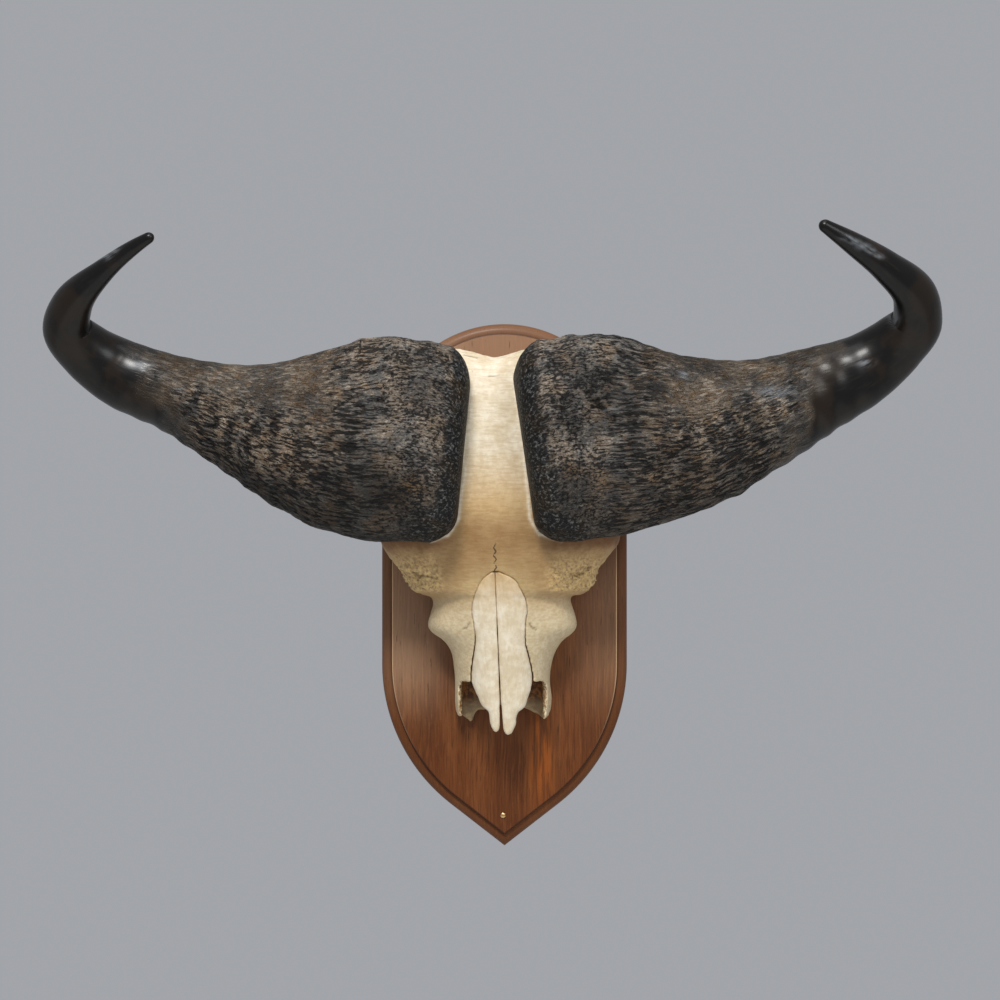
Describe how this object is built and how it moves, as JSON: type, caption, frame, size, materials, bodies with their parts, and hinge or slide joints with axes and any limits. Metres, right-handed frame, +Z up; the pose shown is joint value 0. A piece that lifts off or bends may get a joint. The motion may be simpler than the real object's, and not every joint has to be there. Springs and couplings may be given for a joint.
{
  "type": "cape buffalo skull mount",
  "caption": "Sawn Cape buffalo skull cap with both bossed, hooked horns, screwed to a moulded shield-shaped wooden plaque that hangs flat on a wall.",
  "frame": {"origin": "centre of the plaque's flat back, on the wall plane", "axes": "+X to the viewer's right along the horn spread, +Y into the wall, +Z up along the plaque"},
  "size_m": [0.9405, 0.2132, 0.6605],
  "materials": {
    "wood": "satin",
    "bone": "matte",
    "nasal_bone": "satin",
    "horn": "satin",
    "brass": "satin",
    "steel": "satin"
  },
  "bodies": {
    "root": {"plaque": "wood", "skull": "bone", "nasal_left": "nasal_bone", "nasal_right": "nasal_bone", "horn_left": "horn", "horn_right": "horn", "tack": "brass", "hanger": "steel", "hanger_screw_left": "steel", "hanger_screw_right": "steel", "skull_screw_left": "steel", "skull_screw_right": "steel", "skull_screw_low": "steel"}
  },
  "joints": []
}
